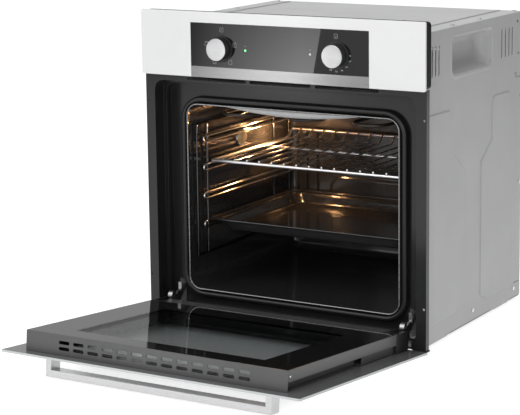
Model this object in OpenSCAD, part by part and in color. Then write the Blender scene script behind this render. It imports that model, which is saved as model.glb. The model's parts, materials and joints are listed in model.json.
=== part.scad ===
// Built-in wall oven. +Z is up, the front faces -Y and +X is to the right.
// The origin is the centre of the base, on the surface that the oven stands on.
// "Depth" is counted backwards from the front frame's flange; fy() turns it into y.

/* [Overall] */
// Width of the control panel and of the door's outer glass
front_w = 595; // [592:1:598]
// Height of the whole front, from the door's lower edge to the panel's top
front_h = 595; // [592:1:598]
// Width of the chassis behind the front
body_w = 558; // [556:1:560]
// Height of the chassis
body_h = 570.5; // [568:0.5:573]
// Depth of the chassis behind the front frame's flange
body_d = 464; // [460:1:480]
// Thickness of the chassis sheet
sheet = 1.2; // [1:0.1:1.2]

/* [Door] */
// Angle of the open door from closed
door_open = 84.7; // [60:0.1:85]
// Height of the door's outer glass
door_h = 466.7; // [464:0.1:467]
// Thickness of the outer glass and of the panel glass
glass_t = 4; // [3.5:0.5:4]
// Depth of the whole door, without the handle
door_t = 40; // [38:1:40]
// Width of the frame that carries the inner glass
inner_w = 523; // [518:1:524]
// Height of the hinge pin above the base
pivot_z = 6; // [6:0.5:6.5]

/* [Handle] */
// Width over the two posts
handle_w = 452.6; // [400:1:480]
// Distance from the glass to the outside of the bar
handle_out = 39.5; // [35:0.5:45]
// Height of the handle's flat section
handle_h = 26; // [20:1:30]
// Thickness of the bar
handle_bar_t = 12.3; // [10:0.1:14]
// Thickness of each post
handle_post_t = 11; // [9:0.5:13]

/* [Control panel] */
// Height of the panel
panel_h = 122.5; // [120:0.5:124]
// Width of the dark window in the middle
window_w = 374; // [360:1:390]
// Height of the brushed strip under the window
strip_h = 20.5; // [18:0.5:24]
// Distance of each knob from the middle
knob_x = 121.3; // [110:1:130]
// Height of the knobs above the base
knob_z = 527.5; // [522:0.5:532]
// Diameter of a knob
knob_d = 41.5; // [38:0.5:44]
// Distance of each pilot lamp from the middle
pilot_x = 68; // [50:1:80]

/* [Oven cavity] */
// Inside width
cavity_w = 452; // [450:1:454]
// Height of the floor above the base
cavity_floor = 52; // [51:0.5:53]
// Height of the ceiling above the base
cavity_top = 414; // [412:0.5:415]
// Depth of the inside of the rear wall
cavity_back = 432; // [430:1:434]
// Corner radius
cavity_r = 24; // [22:1:28]

/* [Racks and shelves] */
// Height of the lowest pair of rails
rail_z0 = 170; // [165:0.5:172]
// Distance from one pair of rails to the next pair
rail_pitch = 56; // [54:1:57]
// Radius of a rail wire
rail_r = 2.2; // [2:0.1:2.2]
// Number of long wires in the shelf
shelf_wires = 15; // [9:2:17]
// Distance between the shelf's long wires
shelf_pitch = 27.3; // [20:0.1:27.3]

/* [Hidden] */
$fn = 64;

enamel = [0.20, 0.20, 0.21];
galvanised = [0.62, 0.62, 0.63];
chrome = [0.80, 0.80, 0.82];
dark = [0.08, 0.08, 0.08];
white_glass = [0.90, 0.90, 0.90];
brushed = [0.75, 0.75, 0.75];
gap = 0.2;

face_out = 8.5;                          // front of the panel and closed door before the flange
door_bottom = 2;                         // lower edge of the closed door
panel_bottom = front_h - panel_h;
flange_w = 591;
flange_low = 3.5;
flange_top = panel_bottom + 1.5;
return_d = 12.2;                         // depth of the flange's turned-back edge
recess_w = 551.2;                        // inside of the recess that takes the door frame
recess_low = 14;
recess_top = 461;
recess_r = 20;
ledge_d = 29;
ledge = 7.6;
plate_d = 45;
side_x = body_w / 2;                     // outside of a side panel
inside_w = body_w - 2 * sheet - 2 * gap; // between the side panels
hinge_x = 249;                           // middle of each hinge
hinge_gap_w = 34;                        // the frame is cut away this wide at each hinge
pin_r = 2.5;
eye_r = 4;
lock_z = 40;
lock_d = 6;
mouth_d = 33.5;
seal_front = 32.3;
recess_pan_d0 = 141;
recess_pan_d1 = 319.5;
recess_pan_z0 = 481.5;
recess_pan_z1 = 552;
recess_pan_in = 31;
recess_pan_r = 14;
recess_rim = 5;                          // the panel is cut this much wider than the pan
rail_front = 82;
rail_back = 412;
rail_x = 217;
rail_half = 5.5;                         // half the distance between the two wires of a rail
rack_x = 220.6;
rails = 4;
shelf_level = 2;                         // rail pair, from the lowest, that holds the shelf
shelf_front = 105;
shelf_back = 418;
shelf_r = 3.2;
shelf_x = 214.5;
grid_r = 1.7;
tray_front = 89;
tray_back = 420;
tray_lip = 1.2;
holes_x = 291;
holes_z = [80, 420];
duct_z = 463.4;                          // top of the plate that closes the space over the cavity
fan_d = 300;
fan_z = 503;
fan_r = 26;

function fy(depth) = depth - body_d / 2;
function rail_height(level) = rail_z0 + level * rail_pitch;

// ---- helpers ----

// A rectangle with round corners, centred in x, between two heights.
module round_rect(w, low, high, r) {
    translate([-w / 2 + r, low]) square([w - 2 * r, high - low]);
    translate([-w / 2, low + r]) square([w, high - low - 2 * r]);
    for (sx = [-1, 1], z = [low + r, high - r])
        translate([sx * (w / 2 - r), z]) circle(r);
}

// A drawing in (x, z), as a plate between two depths.
module front_plate(d0, d1) {
    translate([0, fy(d1), 0]) rotate([90, 0, 0]) linear_extrude(d1 - d0) children();
}

// A drawing in (depth, z), as a plate between two x.
module side_plate(x0, x1) {
    translate([x0, fy(0), 0]) rotate([90, 0, 90]) linear_extrude(x1 - x0) children();
}

// A drawing in (x, depth), as a plate between two heights.
module flat_plate(z0, z1) {
    translate([0, fy(0), z0]) linear_extrude(z1 - z0) children();
}

// A box between two corners given as [x, depth, z].
module box(a, b) {
    translate([a[0], fy(a[1]), a[2]]) cube([b[0] - a[0], b[1] - a[1], b[2] - a[2]]);
}

// A round bar between two points given as [x, depth, z].
module bar(a, b, r) {
    v = b - a;
    translate([a[0], fy(a[1]), a[2]])
        rotate([0, acos(v[2] / norm(v)), atan2(v[1], v[0])])
            cylinder(h = norm(v), r = r);
}

// A bent wire through points given as [x, depth, z], with round joints.
module wire(points, r) {
    for (i = [0:len(points) - 2]) bar(points[i], points[i + 1], r);
    for (p = points) translate([p[0], fy(p[1]), p[2]]) sphere(r);
}

// Half a ring of wire, bulging towards -y, in the x-y plane about [x, depth, z].
module front_bend(p, bend_r, r) {
    translate([p[0], fy(p[1]), p[2]])
        rotate([0, 0, 180]) rotate_extrude(angle = 180) translate([bend_r, 0]) circle(r);
}

// The other half, bulging towards +y.
module back_bend(p, bend_r, r) {
    translate([p[0], fy(p[1]), p[2]])
        rotate_extrude(angle = 180) translate([bend_r, 0]) circle(r);
}

module mirror_x() {
    children();
    mirror([1, 0, 0]) children();
}

// Draws a door part, modelled closed, in the open position.
module on_door() {
    translate([0, fy(0), pivot_z])
        rotate([door_open, 0, 0])
            translate([0, -fy(0), -pivot_z]) children();
}

// ---- chassis ----

module recess_outline(inset) {
    w = recess_w - 2 * inset;
    round_rect(w, recess_low + inset, recess_top - inset, recess_r);
}

module recess_ring(d0, d1, inset_out, inset_in) {
    front_plate(d0, d1) difference() {
        recess_outline(inset_out);
        recess_outline(inset_in);
    }
}

module hinge_cuts() {
    mirror_x() {
        box([hinge_x - hinge_gap_w / 2, -1, -1],
            [hinge_x + hinge_gap_w / 2, plate_d - 1, 56]);
        box([hinge_x - 7, -1, 8], [hinge_x + 7, plate_d + 3, 66]);
    }
}

module vent_slots() {
    for (x = [-202, -65, 73])
        front_plate(-1, 3) translate([x, 464.5]) {
            translate([3, 0]) square([123, 6]);
            translate([3, 3]) circle(3);
            translate([126, 3]) circle(3);
        }
}

module front_frame() {
    color(enamel) difference() {
        union() {
            front_plate(0, sheet) difference() {
                translate([-flange_w / 2, flange_low])
                    square([flange_w, flange_top - flange_low]);
                recess_outline(0);
            }
            mirror_x()
                box([flange_w / 2 - sheet, 0.6, flange_low], [flange_w / 2, return_d, flange_top]);
            recess_ring(0.6, ledge_d + sheet, -sheet, 0);
            recess_ring(ledge_d, ledge_d + sheet, -sheet, ledge);
            recess_ring(ledge_d, plate_d + sheet, ledge - sheet, ledge);
            front_plate(plate_d, plate_d + sheet) difference() {
                recess_outline(ledge - 0.6);
                round_rect(cavity_w + 2 * sheet + 2 * gap, cavity_floor - sheet - gap,
                    cavity_top + sheet + gap, cavity_r + sheet + gap);
            }
        }
        hinge_cuts();
        vent_slots();
        for (sx = [-1, 1], z = holes_z)
            translate([sx * holes_x, fy(-1), z]) rotate([-90, 0, 0]) cylinder(h = 4, r = 2.25);
    }
}

module bottom_trim() {
    color(dark) difference() {
        box([-297, 4.8, 0.5], [297, 13.6, 3.3]);
        mirror_x() box([hinge_x - hinge_gap_w / 2, 0, 0], [hinge_x + hinge_gap_w / 2, 10.5, 4]);
    }
}

module base_panel() {
    half = inside_w / 2;
    color(galvanised) {
        box([-half, 14, 0], [half, body_d - sheet - gap, sheet]);
        for (d = [120, 250, 380]) box([-200, d, sheet - 0.1], [200, d + 12, sheet + 5]);
    }
}

module front_emboss() {
    polygon([[16, 34.5], [160, 34.5], [199, 50], [199, 298], [142, 340], [142, 406],
        [128, 421], [16, 421]]);
}

module rear_emboss() {
    polygon([[294, 31.5], [397, 31.5], [414, 44], [414, 408], [397, 421.5], [329, 421.5],
        [321.5, 408], [321.5, 339], [270, 303], [270, 44]]);
}

// The hand recess's opening, in (depth, z).
module recess_outline_yz(grow) {
    translate([(recess_pan_d0 + recess_pan_d1) / 2, 0])
        round_rect(recess_pan_d1 - recess_pan_d0 + 2 * grow, recess_pan_z0 - grow,
            recess_pan_z1 + grow, recess_pan_r + grow);
}

module side_panel() {
    difference() {
        union() {
            side_plate(side_x - sheet, side_x) difference() {
                polygon([[13.8, 0], [120, 0], [134, 3], [323, 3], [337, 0], [401, 0],
                    [415, 3], [body_d, 3], [body_d, body_h], [13.8, body_h]]);
                recess_outline_yz(recess_rim);
                for (d = [57, 71, 85, 365, 382, 399, 415])
                    translate([d - 2, 489]) square([4, 55]);
                for (z = [31.5, 443.5]) translate([432, z]) square([35, 1.2]);
            }
            side_plate(side_x - 0.2, side_x + 1.4) front_emboss();
            side_plate(side_x - 0.2, side_x + 1.4) rear_emboss();
        }
        for (p = [[440, 553], [445, 490]])
            translate([side_x - 4, fy(p[0]), p[1]]) rotate([0, 90, 0]) cylinder(h = 8, r = 3);
    }
}

module side_panel_right() {
    color(galvanised) side_panel();
}

module side_panel_left() {
    color(galvanised) mirror([1, 0, 0]) side_panel();
}

module hand_recess() {
    x1 = side_x - sheet - gap;
    x0 = side_x - recess_pan_in - 1;
    difference() {
        union() {
            side_plate(x0, x1) recess_outline_yz(1);
            side_plate(x1 - 1, x1) recess_outline_yz(recess_rim + 6);
        }
        side_plate(x0 + 1, x1 + 1) recess_outline_yz(0);
    }
}

module hand_recess_right() {
    color(galvanised) hand_recess();
}

module hand_recess_left() {
    color(galvanised) mirror([1, 0, 0]) hand_recess();
}

module top_cover() {
    half = inside_w / 2;
    color(galvanised) {
        box([-half, 18.5, body_h - sheet], [half, body_d - sheet - gap, body_h]);
        flat_plate(body_h - 0.2, body_h + 1.6) {
            translate([-238, 30]) square([4, 420]);
            translate([234, 30]) square([4, 420]);
            translate([-150, 60]) square([300, 150]);
        }
    }
}

module rear_panel() {
    half = inside_w / 2;
    color(galvanised) difference() {
        front_plate(body_d - sheet, body_d) difference() {
            translate([-half, 0]) square([2 * half, body_h]);
            for (z = [484:9:538]) translate([60, z]) square([120, 4]);
            translate([-200, 512]) circle(8);
        }
    }
}

module screw_head(p, axis_rot) {
    translate([p[0], fy(p[1]), p[2]]) rotate(axis_rot) difference() {
        cylinder(h = 2, r = 4);
        translate([0, 0, 1]) cylinder(h = 2, r = 1.6, $fn = 6);
    }
}

module body_screws() {
    color(chrome) {
        for (sx = [-1, 1], p = [[430, 450], [460, 406], [457, 234], [430, 21.5], [236, 22.5]])
            screw_head([sx * side_x, p[0] - (p[0] > 455 ? 3 : 0), p[1]], [0, sx * 90, 0]);
        for (x = [-266, 266], d = [60, 168, 288, 452]) screw_head([x, d, body_h], [0, 0, 0]);
    }
}

module cavity_outline(grow) {
    round_rect(cavity_w + 2 * grow, cavity_floor - grow, cavity_top + grow, cavity_r + grow);
}

// The pressed lip that hangs from the front of the ceiling.
module ceiling_lip() {
    chord = 320;
    drop = 15;
    r = (chord * chord / 4 + drop * drop) / (2 * drop);
    intersection() {
        translate([0, cavity_top - 1 - drop + r]) circle(r, $fn = 180);
        translate([-chord / 2, cavity_top - 40]) square([chord, 40.5]);
    }
}

module cavity_liner() {
    color(dark) difference() {
        front_plate(mouth_d, cavity_back + sheet) cavity_outline(sheet);
        difference() {
            front_plate(mouth_d + 2, cavity_back) cavity_outline(0);
            front_plate(40, 46) ceiling_lip();
            front_plate(cavity_back - 2.5, cavity_back + 1) round_rect(266, 92, 216, 28);
            front_plate(cavity_back - 3, cavity_back + 1) mirror_x()
                for (x = [159, 183, 205]) translate([x, 178]) square([5, 128]);
        }
        front_plate(mouth_d - 1, mouth_d + 3)
            round_rect(447.6, 54.4, 411.6, 22);
        translate([-cavity_w / 2 - 5, fy(230), 319]) rotate([0, 90, 0]) cylinder(h = 10, r = 15.2);
    }
}

module insulation_wrap() {
    color([0.75, 0.70, 0.55]) difference() {
        front_plate(82, 454) round_rect(524, 10, 444, 26);
        front_plate(80, cavity_back + sheet + gap)
            round_rect(cavity_w + 2 * sheet + 2 * gap, 34, cavity_top + sheet + gap, cavity_r);
        box([-270, 200, 289], [-200, 260, 349]);
        box([150, 425, 390], [215, 460, 420]);
    }
}

module door_seal() {
    color(dark) front_plate(seal_front, plate_d) difference() {
        round_rect(482, 37.5, 428.5, 46);
        round_rect(460, 47.5, 418.5, 34);
    }
}

// The bend that joins the two wires of a rail, about [x, depth, z]. turn is 0 at the rear.
module rail_bend(p, turn) {
    translate([p[0], fy(p[1]), p[2]]) rotate([0, 90, turn])
        rotate_extrude(angle = 180) translate([rail_half, 0]) circle(rail_r);
}

module side_rack() {
    low = 112;
    high = 368;
    color(chrome) {
        wire([[222, 60, low], [222, 60, high], [222, 415, high], [222, 415, low], [222, 60, low]], 2);
        for (d = [94, 350]) bar([rack_x, d, low], [rack_x, d, high], 2.2);
        for (level = [0:rails - 1]) {
            z = rail_height(level);
            for (side = [-rail_half, rail_half])
                bar([rail_x, rail_front, z + side], [rail_x, rail_back, z + side], rail_r);
            rail_bend([rail_x, rail_front, z], 180);
            rail_bend([rail_x, rail_back, z], 0);
        }
    }
}

module side_rack_right() {
    side_rack();
}

module side_rack_left() {
    mirror([1, 0, 0]) side_rack();
}

module lamp_lens() {
    color([1.0, 0.85, 0.6]) translate([-cavity_w / 2 - 3, fy(230), 319]) {
        rotate([0, 90, 0]) cylinder(h = 6, r = 15);
        translate([6, 0, 0]) rotate([0, 90, 0]) cylinder(h = 4, r1 = 14, r2 = 12);
        translate([10, 0, 0]) rotate([0, 90, 0]) cylinder(h = 3, r1 = 12, r2 = 7);
    }
}

module lamp_housing() {
    color(galvanised) translate([-cavity_w / 2 - 32, fy(230), 319]) rotate([0, 90, 0]) difference() {
        cylinder(h = 28.6, r = 22);
        translate([0, 0, 2]) cylinder(h = 30, r = 19);
    }
}

module grill_element() {
    z = 392;
    r = 3.4;
    bend = 35;
    front = 100;
    back = 384;
    color([0.25, 0.22, 0.20]) {
        for (x = [-105, -35, 35, 105]) bar([x, front, z], [x, back, z], r);
        for (x = [-175, 175]) bar([x, front, z], [x, cavity_back, z], r);
        for (x = [-140, 0, 140]) front_bend([x, front, z], bend, r);
        for (x = [-70, 70]) back_bend([x, back, z], bend, r);
        for (x = [-175, 175]) box([x - 3, 300, z + 2], [x + 3, 306, cavity_top]);
    }
}

module bottom_element() {
    z = 44;
    color([0.30, 0.28, 0.27]) {
        for (x = [-150, -50, 50, 150]) bar([x, 130, z], [x, 370, z], 3.5);
        for (x = [-100, 100]) front_bend([x, 130, z], 50, 3.5);
        back_bend([0, 370, z], 50, 3.5);
    }
}

module temperature_sensor() {
    color(chrome) {
        bar([183, 300, 404], [183, cavity_back, 404], 1.6);
        bar([183, 300, 404], [183, 360, 404], 2.6);
        box([181, 318, 406], [185, 326, cavity_top]);
    }
}

// ---- cooling ----

module air_duct() {
    half = inside_w / 2;
    color(galvanised) {
        box([-half, 2, duct_z - 1], [half, 440, duct_z]);
        box([-208, 14, duct_z + 9], [208, 262, duct_z + 10]);
        mirror_x() box([207, 2, duct_z - 0.5], [208, 262, duct_z + 10]);
    }
}

module fan_housing() {
    color(galvanised) difference() {
        union() {
            side_plate(-100, 100) translate([fan_d, fan_z]) circle(fan_r + 5);
            box([-100, 262.5, duct_z], [100, fan_d + 20, fan_z]);
        }
        side_plate(-98.8, 98.8) translate([fan_d, fan_z]) circle(fan_r + 3.8);
        box([-98.8, 262, duct_z + sheet], [98.8, fan_d - 3, fan_z - 1]);
        box([-98.8, fan_d - 4, fan_z + 14], [98.8, fan_d + 40, fan_z + 40]);
        side_plate(-101, 101) translate([fan_d, fan_z]) circle(2.6);
    }
}

module fan_motor() {
    color([0.35, 0.35, 0.37]) difference() {
        union() {
            side_plate(100, 150) translate([fan_d, fan_z]) circle(24);
            side_plate(110, 141) translate([fan_d - 34, fan_z - 34]) square([68, 68]);
        }
        side_plate(99, 140) translate([fan_d, fan_z]) circle(2.6);
    }
}

module fan_impeller() {
    color([0.55, 0.55, 0.58]) {
        side_plate(-96, 136) translate([fan_d, fan_z]) circle(2.55);
        for (x = [-95, -32, 31, 94]) side_plate(x - 1, x + 1) translate([fan_d, fan_z]) circle(fan_r);
        for (i = [0:15])
            side_plate(-95, 94) translate([fan_d, fan_z]) rotate(i * 22.5)
                translate([fan_r - 5, -0.6]) square([4.8, 1.2]);
    }
}

module terminal_box() {
    color(dark) difference() {
        box([-232, 418, 484], [-168, body_d - sheet - gap, 542]);
        box([-230, 420, 486], [-170, 470, 540]);
    }
}

module cable_clamp() {
    color(dark) translate([-200, fy(body_d - 10), 512]) rotate([-90, 0, 0]) difference() {
        union() {
            cylinder(h = 18, r = 7.6);
            translate([0, 0, 10.2]) cylinder(h = 5, r = 12, $fn = 6);
        }
        translate([0, 0, -1]) cylinder(h = 20, r = 4.5);
    }
}

// ---- control panel ----

module panel_glass() {
    color(white_glass) front_plate(-face_out, -face_out + glass_t) difference() {
        round_rect(front_w, panel_bottom, front_h, 3.5);
        translate([-window_w / 2, panel_bottom - 1]) square([window_w, panel_h - 19.5]);
    }
}

module panel_window() {
    half = window_w / 2 - 0.15;
    color(dark) front_plate(-face_out, -face_out + glass_t) difference() {
        translate([-half, panel_bottom + strip_h + 0.1])
            square([2 * half, panel_h - 20.5 - strip_h - 0.25]);
        for (sx = [-1, 1]) {
            translate([sx * knob_x, knob_z]) circle(5);
            translate([sx * pilot_x, knob_z - 0.5]) circle(2.1);
        }
    }
}

module panel_strip() {
    half = window_w / 2 - 0.15;
    color(brushed) front_plate(-face_out, -face_out + glass_t)
        translate([-half, panel_bottom]) square([2 * half, strip_h - 0.1]);
}

module panel_housing() {
    low = panel_bottom + 2;
    high = front_h - 1.5;
    front = -face_out + glass_t;
    color(dark) difference() {
        front_plate(front, 17) round_rect(592, low, high, 7);
        box([-300, 12.5, low - 1], [300, 20, low + 2]);
        front_plate(front + 2, 20) round_rect(588, low + 2, high - 2, 5);
        for (sx = [-1, 1]) {
            translate([sx * knob_x, fy(-10), knob_z]) rotate([-90, 0, 0]) cylinder(h = 20, r = 5);
            translate([sx * pilot_x, fy(-10), knob_z - 0.5])
                rotate([-90, 0, 0]) cylinder(h = 20, r = 2.1);
        }
    }
}

module switch_bracket() {
    color(galvanised) difference() {
        union() {
            box([-inside_w / 2, 18.6, 478], [inside_w / 2, 19.8, 566]);
            mirror_x() box([inside_w / 2 - sheet, 18.6, 478], [inside_w / 2, 34, 566]);
        }
        for (sx = [-1, 1]) {
            translate([sx * knob_x, fy(10), knob_z]) rotate([-90, 0, 0]) cylinder(h = 20, r = 6);
            translate([sx * pilot_x, fy(10), knob_z - 0.5]) rotate([-90, 0, 0]) cylinder(h = 20, r = 4);
        }
    }
}

module control_body(sx, w, h, depth) {
    difference() {
        union() {
            box([sx * knob_x - w / 2, 20, knob_z - h / 2], [sx * knob_x + w / 2, depth, knob_z + h / 2]);
            translate([sx * knob_x, fy(12), knob_z]) rotate([-90, 0, 0]) cylinder(h = 10, r = 5.8);
        }
        translate([sx * knob_x, fy(11), knob_z]) rotate([-90, 0, 0]) cylinder(h = 25, r = 3.05);
    }
}

module function_switch() {
    color([0.15, 0.15, 0.16]) control_body(-1, 44, 40, 62);
}

module thermostat() {
    color([0.82, 0.80, 0.75]) control_body(1, 34, 42, 50);
}

module pilot_lamps() {
    color([0.9, 0.9, 0.9]) for (x = [-pilot_x, pilot_x])
        translate([x, fy(-face_out - 0.5), knob_z - 0.5]) rotate([-90, 0, 0]) {
            cylinder(h = 12, r = 2);
            translate([0, 0, 12]) cylinder(h = 22, r = 3.6);
        }
}

module knob(x) {
    back = -face_out - 2.4;
    color([0.25, 0.25, 0.26]) translate([x, fy(back), knob_z]) rotate([90, 0, 0]) {
        cylinder(h = 14.2, r = knob_d / 2 - 1.2);
        for (i = [0:35]) rotate(i * 10)
            translate([knob_d / 2 - 1.6, -0.7, 0.6]) cube([1.3, 1.4, 13]);
        translate([0, 0, -36]) cylinder(h = 37, r = 3);
    }
}

module knob_cap(x) {
    front = -face_out - 16.6;
    color(brushed) translate([x, fy(front), knob_z]) rotate([90, 0, 0]) difference() {
        cylinder(h = 1.4, r = knob_d / 2);
        translate([-0.5, knob_d / 2 - 5, 0.9]) cube([1, 4, 1]);
    }
}

module function_knob() {
    knob(-knob_x);
}

module function_knob_cap() {
    knob_cap(-knob_x);
}

module thermostat_knob() {
    knob(knob_x);
}

module thermostat_knob_cap() {
    knob_cap(knob_x);
}

module knob_rings() {
    color(dark) for (sx = [-1, 1])
        translate([sx * knob_x, fy(-face_out), knob_z]) rotate([90, 0, 0]) difference() {
            cylinder(h = 1.9, r = 25.5);
            translate([0, 0, -1]) cylinder(h = 4, r = 5);
            translate([0, 0, 1]) cylinder(h = 2, r = 23.5);
        }
}

// ---- hinges ----

module receiver() {
    difference() {
        box([hinge_x - 8, plate_d + sheet, 10], [hinge_x + 8, plate_d + 28, 72]);
        box([hinge_x - 6.5, plate_d, 11.5], [hinge_x + 6.5, plate_d + 26.5, 70.5]);
    }
}

module hinge_receivers() {
    color(galvanised) mirror_x() receiver();
}

// The fixed hinge arm: it hooks into the chassis and ends in the eye round the pin.
module hinge_arm() {
    side_plate(hinge_x - 2, hinge_x + 2) difference() {
        union() {
            translate([0, pivot_z]) circle(eye_r);
            polygon([[-3.6, pivot_z], [-3.6, 26], [-1.5, 31], [-1.5, 42], [1, 46], [8, 47.5],
                [11.5, 45], [13, 42], [17, 41], [24, 46], [31, 47], [44, 54], [60, 54],
                [60, 62], [66, 62], [66, 46], [46, 44], [34, 30], [12, 22], [3.6, pivot_z]]);
        }
        translate([0, pivot_z]) circle(pin_r);
        translate([lock_d, lock_z]) circle(1.55);
    }
    box([hinge_x - 3.5, 32, 44], [hinge_x + 3.5, 33.5, 61]);
}

module hinge_arms() {
    color(chrome) mirror_x() hinge_arm();
}

module hinge_pins() {
    color(chrome) mirror_x()
        side_plate(hinge_x - 9, hinge_x + 9) translate([0, pivot_z]) circle(pin_r);
}

// A bail over the arm, on its own small pin.
module hinge_lock() {
    module sector(r) {
        intersection() {
            translate([lock_d, lock_z]) circle(r);
            translate([lock_d, lock_z]) polygon([[0, 0], [3.5, 14], [-14, 14], [-14, -4]]);
        }
    }
    difference() {
        union() {
            side_plate(hinge_x - 4.5, hinge_x + 4.5) difference() {
                sector(10);
                translate([lock_d, lock_z]) circle(8.6);
            }
            for (x = [-4.5, 3]) side_plate(hinge_x + x, hinge_x + x + 1.5) {
                sector(9.5);
                translate([lock_d, lock_z]) circle(3);
            }
        }
        side_plate(hinge_x - 6, hinge_x + 6) translate([lock_d, lock_z]) circle(1.5);
    }
    side_plate(hinge_x - 5.2, hinge_x + 5.2) translate([lock_d, lock_z]) circle(1.5);
}

module hinge_lock_right() {
    color(chrome) hinge_lock();
}

module hinge_lock_left() {
    color(chrome) mirror([1, 0, 0]) hinge_lock();
}

// ---- door, modelled closed and drawn open ----

inner_top = 444.2;
inner_low = 57;
door_front = -face_out;
door_mid = door_front + glass_t;
door_back = door_front + door_t;

module door_outer_glass() {
    color([0.55, 0.56, 0.57]) on_door() front_plate(door_front, door_mid) difference() {
        round_rect(front_w, door_bottom, door_bottom + door_h, 3);
        for (sx = [-1, 1]) translate([sx * (handle_w - handle_post_t) / 2, 420]) circle(3);
    }
}

module door_middle_glass() {
    color([0.6, 0.62, 0.62]) on_door()
        front_plate(10, 14) translate([-225, 70]) square([450, 360]);
}

module door_inner_glass() {
    half = inner_w / 2 - 1.8;
    color([0.15, 0.15, 0.15]) on_door() front_plate(door_back - glass_t, door_back)
        round_rect(2 * half, inner_low, inner_top - 1.8, 4);
}

module door_spacers() {
    color(dark) on_door() for (sx = [-1, 1], z = [90, 250, 405])
        box([sx * 208 - 8, 14, z - 10], [sx * 208 + 8, door_back - glass_t, z + 10]);
}

module rail_slots() {
    for (i = [-6:6], d = [7.2, 17.9])
        translate([i * 30.1 - 8, fy(d), inner_top - 4]) {
            translate([0, -3, 0]) cube([16, 6, 8]);
            for (x = [0, 16]) translate([x, 0, 0]) cylinder(h = 8, r = 3);
        }
}

module door_top_rail() {
    half = inner_w / 2;
    front = door_mid + 0.2;
    color([0.33, 0.33, 0.34]) on_door() difference() {
        union() {
            box([-half, front, inner_top - 1.5], [half, door_back, inner_top]);
            box([-half + 2, front, inner_top - 16], [half - 2, front + 1.5, inner_top - 1]);
            box([-half + 2, door_back - glass_t - 1.7, inner_top - 14],
                [half - 2, door_back - glass_t - 0.2, inner_top - 1]);
        }
        rail_slots();
    }
}

module side_rail() {
    x1 = inner_w / 2;
    top = inner_top - 16.5;
    front = door_mid + 0.2;
    box([x1 - 1.5, 11.5, inner_low + 0.5], [x1, door_back, inner_top - 1.7]);
    box([x1 - 16, 11.5, inner_low + 0.5], [x1 - 1, 13, top]);
    box([x1 - 16, front, inner_low + 0.5], [x1 - 14.5, 12, top]);
    box([x1 - 16, front, inner_low + 0.5], [x1 - 6, front + 1.5, top]);
}

module door_side_rails() {
    color([0.33, 0.33, 0.34]) on_door() difference() {
        mirror_x() side_rail();
        mirror_x() box([hinge_x - 8.3, -6, 50], [hinge_x + 8.3, 26.7, 190]);
    }
}

module door_bottom_rail() {
    front = door_mid + 0.2;
    color([0.33, 0.33, 0.34]) on_door() {
        box([-233, front, 24], [233, door_back, 25.5]);
        box([-233, front, 25], [233, front + 1.5, 56]);
        box([-233, door_back - 1.5, 25], [233, door_back, inner_low - 0.3]);
    }
}

module door_corner_brackets() {
    x0 = hinge_x - 14;
    x1 = inner_w / 2;
    color(dark) on_door() mirror_x() difference() {
        box([x0, door_mid + 0.2, 9], [x1, door_back, inner_low - 0.3]);
        box([hinge_x - 8.3, door_mid - 1, 0], [hinge_x + 8.3, door_back + 1, 50]);
        box([hinge_x - 8.3, door_mid - 1, 49], [hinge_x + 8.3, door_back - 5, 60]);
    }
}

module hinge_channel() {
    cheek = 1.5;
    for (x = [hinge_x - 7.5, hinge_x + 7.5 - cheek])
        side_plate(x, x + cheek) difference() {
            union() {
                translate([0, pivot_z]) circle(eye_r);
                translate([-3.8, pivot_z]) square([7.6, 6]);
                translate([-3.8, 11]) square([29.6, 169]);
            }
            translate([0, pivot_z]) circle(pin_r + 0.05);
        }
    box([hinge_x - 7.5, -3.8, 66], [hinge_x + 7.5, -2.3, 180]);
    box([hinge_x - 7.5, 24.3, 66], [hinge_x + 7.5, 25.8, 180]);
}

module hinge_channels() {
    color(galvanised) on_door() mirror_x() hinge_channel();
}

module hinge_springs() {
    color(chrome) on_door() mirror_x()
        translate([hinge_x, fy(11), 78]) difference() {
            cylinder(h = 84, r = 5.5);
            translate([0, 0, -1]) cylinder(h = 86, r = 3.3);
        }
}

// ---- handle ----

module handle_section() {
    z0 = 420 - handle_h / 2;
    translate([0, fy(0), z0]) linear_extrude(handle_h) children();
}

module handle_bar() {
    x1 = handle_w / 2;
    x0 = x1 - handle_post_t;
    out = door_front - handle_out;
    color(brushed) on_door() handle_section()
        polygon([[-x1, out], [x1, out], [x0, out + handle_bar_t], [-x0, out + handle_bar_t]]);
}

module handle_posts() {
    x1 = handle_w / 2;
    x0 = x1 - handle_post_t;
    out = door_front - handle_out;
    color(brushed) on_door() mirror_x() difference() {
        handle_section() polygon([[x0, out + handle_bar_t], [x1, out],
            [x1, door_front - 0.2], [x0, door_front - 0.2]]);
        translate([(x0 + x1) / 2, fy(door_front - 16), 420]) rotate([-90, 0, 0])
            cylinder(h = 20, r = 2.5);
    }
}

module handle_screws() {
    x = (handle_w - handle_post_t) / 2;
    color(chrome) on_door() for (sx = [-1, 1])
        translate([sx * x, fy(door_front - 12), 420]) rotate([-90, 0, 0]) {
            cylinder(h = 17, r = 2.45);
            translate([0, 0, 12 + glass_t + 0.2]) cylinder(h = 3, r = 5.5);
        }
}

// ---- shelf and tray ----

rail_top = rail_half + rail_r;
shelf_z = rail_height(shelf_level) + rail_half + 5.3;
shelf_top = shelf_z + shelf_r + grid_r + 0.05;
shelf_rear_z = shelf_z + 17;

module shelf_frame() {
    z = shelf_z;
    color(chrome) {
        wire([[-shelf_x, shelf_back - 20, z], [-shelf_x, shelf_front, z],
            [shelf_x, shelf_front, z], [shelf_x, shelf_back - 20, z],
            [shelf_x, shelf_back, shelf_rear_z], [-shelf_x, shelf_back, shelf_rear_z],
            [-shelf_x, shelf_back - 20, z]], shelf_r);
        bar([-shelf_x, 290, z], [shelf_x, 290, z], shelf_r - 0.4);
    }
}

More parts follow.
